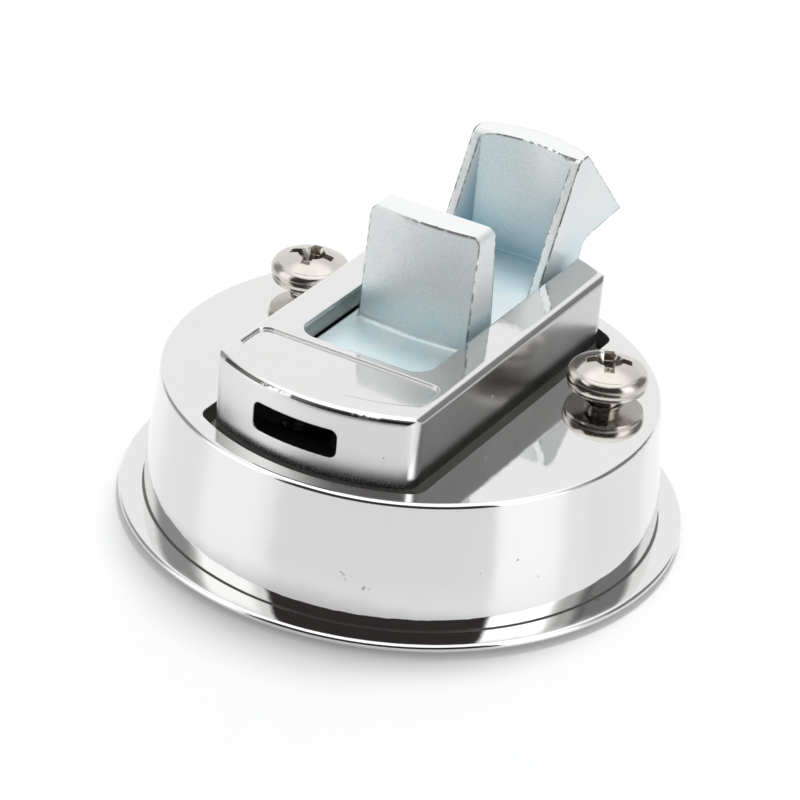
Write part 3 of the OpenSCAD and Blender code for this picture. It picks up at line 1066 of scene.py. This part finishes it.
@dataclass
class Studio:
    """White table, soft light and the camera of the photograph."""

    floor_z: float = -1.45 * MM
    floor_half: float = 3.0
    floor_colour: Colour = (0.90, 0.905, 0.915)
    floor_ior: float = 1.7
    floor_sheen: float = 0.22
    floor_matt: float = 0.75
    glow_share: float = 0.10
    ambient: float = 0.60
    key_power: float = 4.3
    key_size: float = 0.28
    key_place: Spot = (0.33, 0.05, 0.77)
    warm_black: Colour = (1.0, 0.84, 0.84)
    warm_band: Band = (0.04, 0.25)
    overhead: float = 1.5
    overhead_from: float = 48.0
    overhead_to: float = 64.0
    eye: Spot = (-283.73 * MM, -149.51 * MM, 190.49 * MM)
    ahead: Spot = (0.77042, 0.40887, -0.48916)
    right: Spot = (0.50634, -0.85864, 0.07977)
    sensor: float = 36.0
    lens: float = 163.2
    clip_start: float = 10.0 * MM
    cards: tuple[Card, ...] = (
        Card(azimuth=202.0, half_width=49.0, softness=1.5, level=0.04, top=52.0),
        Card(azimuth=266.5, half_width=15.5, softness=3.0, level=1.9),
        Card(azimuth=129.0, half_width=16.0, softness=5.0, level=1.45),
        Card(azimuth=320.0, half_width=20.0, softness=6.0, level=0.24),
        Card(azimuth=296.0, half_width=8.0, softness=5.0, level=0.55),
        Card(azimuth=91.5, half_width=17.0, softness=9.0, level=0.36),
    )

    def lay_floor(self) -> bpy.types.Object:
        """Lay the white table top.

        Returns:
            The floor.
        """
        work = bmesh.new()
        bmesh.ops.create_grid(work, x_segments=1, y_segments=1, size=self.floor_half)
        bmesh.ops.translate(work, verts=work.verts, vec=(0.0, 0.0, self.floor_z))
        floor = shown("table_top", work)
        floor.data.materials.append(self._table_paint())
        return floor

    def _table_paint(self) -> bpy.types.Material:
        """Build the white of the table, matt to the eye and with a sheen to the metal.

        Returns:
            The material.
        """
        material = bpy.data.materials.new("white_table")
        bench = NodeBench.cleared(material)
        ray = bench.add("ShaderNodeLightPath").outputs
        matt = bench.add(
            "ShaderNodeBsdfPrincipled",
            {
                "Base Color": (*self.floor_colour, 1.0),
                "Roughness": bench.ramp(ray["Is Camera Ray"], 0.0, 1.0, self.floor_sheen, self.floor_matt),
                "IOR": self.floor_ior,
            },
        )
        glow = bench.add("ShaderNodeEmission", {"Color": (1.0, 1.0, 1.0, 1.0), "Strength": 1.0})
        seen = bench.math("MAXIMUM", ray["Is Camera Ray"], ray["Is Glossy Ray"])
        share = bench.product(seen, self.glow_share)
        both = bench.add("ShaderNodeMixShader", {0: share, 1: matt.outputs[0], 2: glow.outputs[0]})
        bench.add("ShaderNodeOutputMaterial", {"Surface": both.outputs[0]})
        return material

    def light(self) -> None:
        """Hang the soft key lamp and set the white surroundings with their cards."""
        lamp = bpy.data.lights.new("key_soft", "AREA")
        lamp.shape = "DISK"
        lamp.size = self.key_size
        lamp.energy = self.key_power
        holder = bpy.data.objects.new("key_soft", lamp)
        place = Vector(self.key_place)
        holder.matrix_world = Matrix.Translation(place) @ place.to_track_quat("Z", "Y").to_matrix().to_4x4()
        holder.visible_glossy = False
        bpy.context.scene.collection.objects.link(holder)
        self._surroundings()

    def _surroundings(self) -> None:
        """Set the world: white to the eye, white with cards to the metal, soft to the rest."""
        world = bpy.data.worlds.new("white_room")
        bpy.context.scene.world = world
        bench = NodeBench.cleared(world)
        way = bench.add("ShaderNodeTexCoord").outputs["Generated"]
        flat = bench.vector("MULTIPLY", way, FLAT)["Vector"]
        level_way = bench.vector("NORMALIZE", flat)["Vector"]
        height = bench.parts(way)["Z"]
        low = math.sin(math.radians(self.overhead_from))
        high = math.sin(math.radians(self.overhead_to))
        shades = [card.shade(bench, level_way, height) for card in self.cards]
        level = bench.product(bench.ramp(height, low, high, 1.0, self.overhead), *shades)
        ray = bench.add("ShaderNodeLightPath").outputs
        mirrored = bench.math("MAXIMUM", ray["Is Glossy Ray"], ray["Is Transmission Ray"])
        plain = bench.math("MAXIMUM", ray["Is Camera Ray"], bench.product(mirrored, level))
        seen = bench.math("MAXIMUM", mirrored, ray["Is Camera Ray"])
        unseen = bench.product(bench.math("SUBTRACT", 1.0, seen), self.ambient)
        strength = bench.math("ADD", plain, unseen)
        tint = bench.mix(bench.ramp(strength, *self.warm_band, *FALLING), (1.0, 1.0, 1.0), self.warm_black)
        glow = bench.add("ShaderNodeBackground", {"Color": tint, "Strength": strength})
        bench.add("ShaderNodeOutputWorld", {"Surface": glow.outputs[0]})

    def set_camera(self) -> bpy.types.Object:
        """Set the camera where the photograph was taken from.

        Returns:
            The camera.
        """
        data = bpy.data.cameras.new("photo_view")
        data.sensor_width = self.sensor
        data.lens = self.lens
        data.clip_start = self.clip_start
        camera = bpy.data.objects.new("photo_view", data)
        ahead = Vector(self.ahead).normalized()
        right = Vector(self.right).normalized()
        turn = Matrix((right, right.cross(ahead), -ahead)).transposed().to_4x4()
        camera.matrix_world = Matrix.Translation(Vector(self.eye)) @ turn
        bpy.context.scene.collection.objects.link(camera)
        bpy.context.scene.camera = camera
        return camera


def cup_chrome() -> ChromeFinish:
    """Choose the chrome of the cup, with painted shade inside it and under its face, and its two patches of pits.

    Returns:
        The finish.
    """
    return ChromeFinish(
        name="cup_chrome",
        recesses=(
            # Painted shade inside the cup and under its face.
            Recess(radius=24.05 * MM, half_width=30 * MM, bottom=3 * MM, top=13.45 * MM),
            Recess(radius=26.6 * MM, half_width=30 * MM, bottom=-0.2 * MM, top=0.12 * MM, depth=0.9),
        ),
        scars=(
            Scar(centre=(-24.8 * MM, -7.9 * MM, 5.2 * MM), reach=1.9 * MM),
            Scar(centre=(-24.2 * MM, -9.9 * MM, 4.4 * MM), reach=1.2 * MM),
        ),
    )


def box_chrome() -> ChromeFinish:
    """Choose the chrome of the box, with its dull walls, grime with painted shade at their foot, front edges darkened
    by grime and a painted reflection, and painted shade in the gap, the inside and the slot.

    Returns:
        The finish.
    """
    # Painted shade: darker tones in the gap below the box, inside it and in its slot.
    below = Recess(radius=30 * MM, half_width=30 * MM, bottom=-10 * MM, top=13.4 * MM, tone=(0.60, 0.59, 0.57))
    inside = Recess(radius=22.25 * MM, half_width=9.8 * MM, bottom=-10 * MM, top=18.85 * MM, tone=(0.04, 0.04, 0.04))
    slot = Recess(
        radius=21.8 * MM, half_width=7.5 * MM, bottom=18.8 * MM, top=20.6 * MM, depth=0.75, tone=(0.22, 0.22, 0.215)
    )
    return ChromeFinish(
        name="box_chrome",
        gloss=0.05,
        side_gloss=0.16,
        ripple=0.018,
        grain=0.3,
        edge=0.25 * MM,
        lip_from=20.3 * MM,
        lip_to=21.4 * MM,
        grime_from=13.4 * MM,
        grime_to=15.6 * MM,
        recesses=(below, inside, slot),
    )


def main() -> None:
    """Dress the CAD nodes and set the studio."""
    logging.basicConfig(level=logging.INFO, format="%(message)s")
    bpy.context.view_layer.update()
    steel = SteelFinish(name="pin_steel", tint=(0.60, 0.60, 0.60), shade=(0.42, 0.42, 0.42))
    wire = SteelFinish(name="spring_wire", tint=(0.52, 0.52, 0.53), shade=(0.36, 0.36, 0.37), gloss=0.22)
    nickel = SteelFinish(name="nickel_screw", tint=(0.64, 0.61, 0.57), gloss=0.12, haze=0.10)
    rim = Rim(ring=24.9 * MM, height=13.1 * MM, radius=0.5 * MM)
    pawl_tip = Vector((12.75, 0.8, 16.04)) * MM
    pull_tip = Vector((8.0, -3.128, 2.21)) * MM
    pieces = [
        SmoothPiece("shell", cup_chrome(), Body.FIXED, Slot.SHELL, rim),
        CadPiece("frame", box_chrome()),
        CadPiece("ring_pull", ChromeFinish(name="pull_chrome", edge=0.15 * MM)),
        CadPiece("pawl", ZincFinish()),
        CadPiece("hinge_pin", steel),
        TorsionSpring("pawl_spring", wire, Slot.SPRING, Body.PAWL, pawl_tip, enter=184.8, sweep=853.0),
        TorsionSpring("pull_spring", wire, Slot.SPRING, Body.PULL, pull_tip, enter=277.0, sweep=761.0),
        CadPiece("clamp_screws", nickel),
    ]
    for piece in pieces:
        LOG.info("dressed %s", piece.dress().name)
    studio = Studio()
    LOG.info("laid %s", studio.lay_floor().name)
    studio.light()
    LOG.info("set %s", studio.set_camera().name)
    bpy.context.scene.view_settings.view_transform = "Standard"


if __name__ == "__main__":
    main()
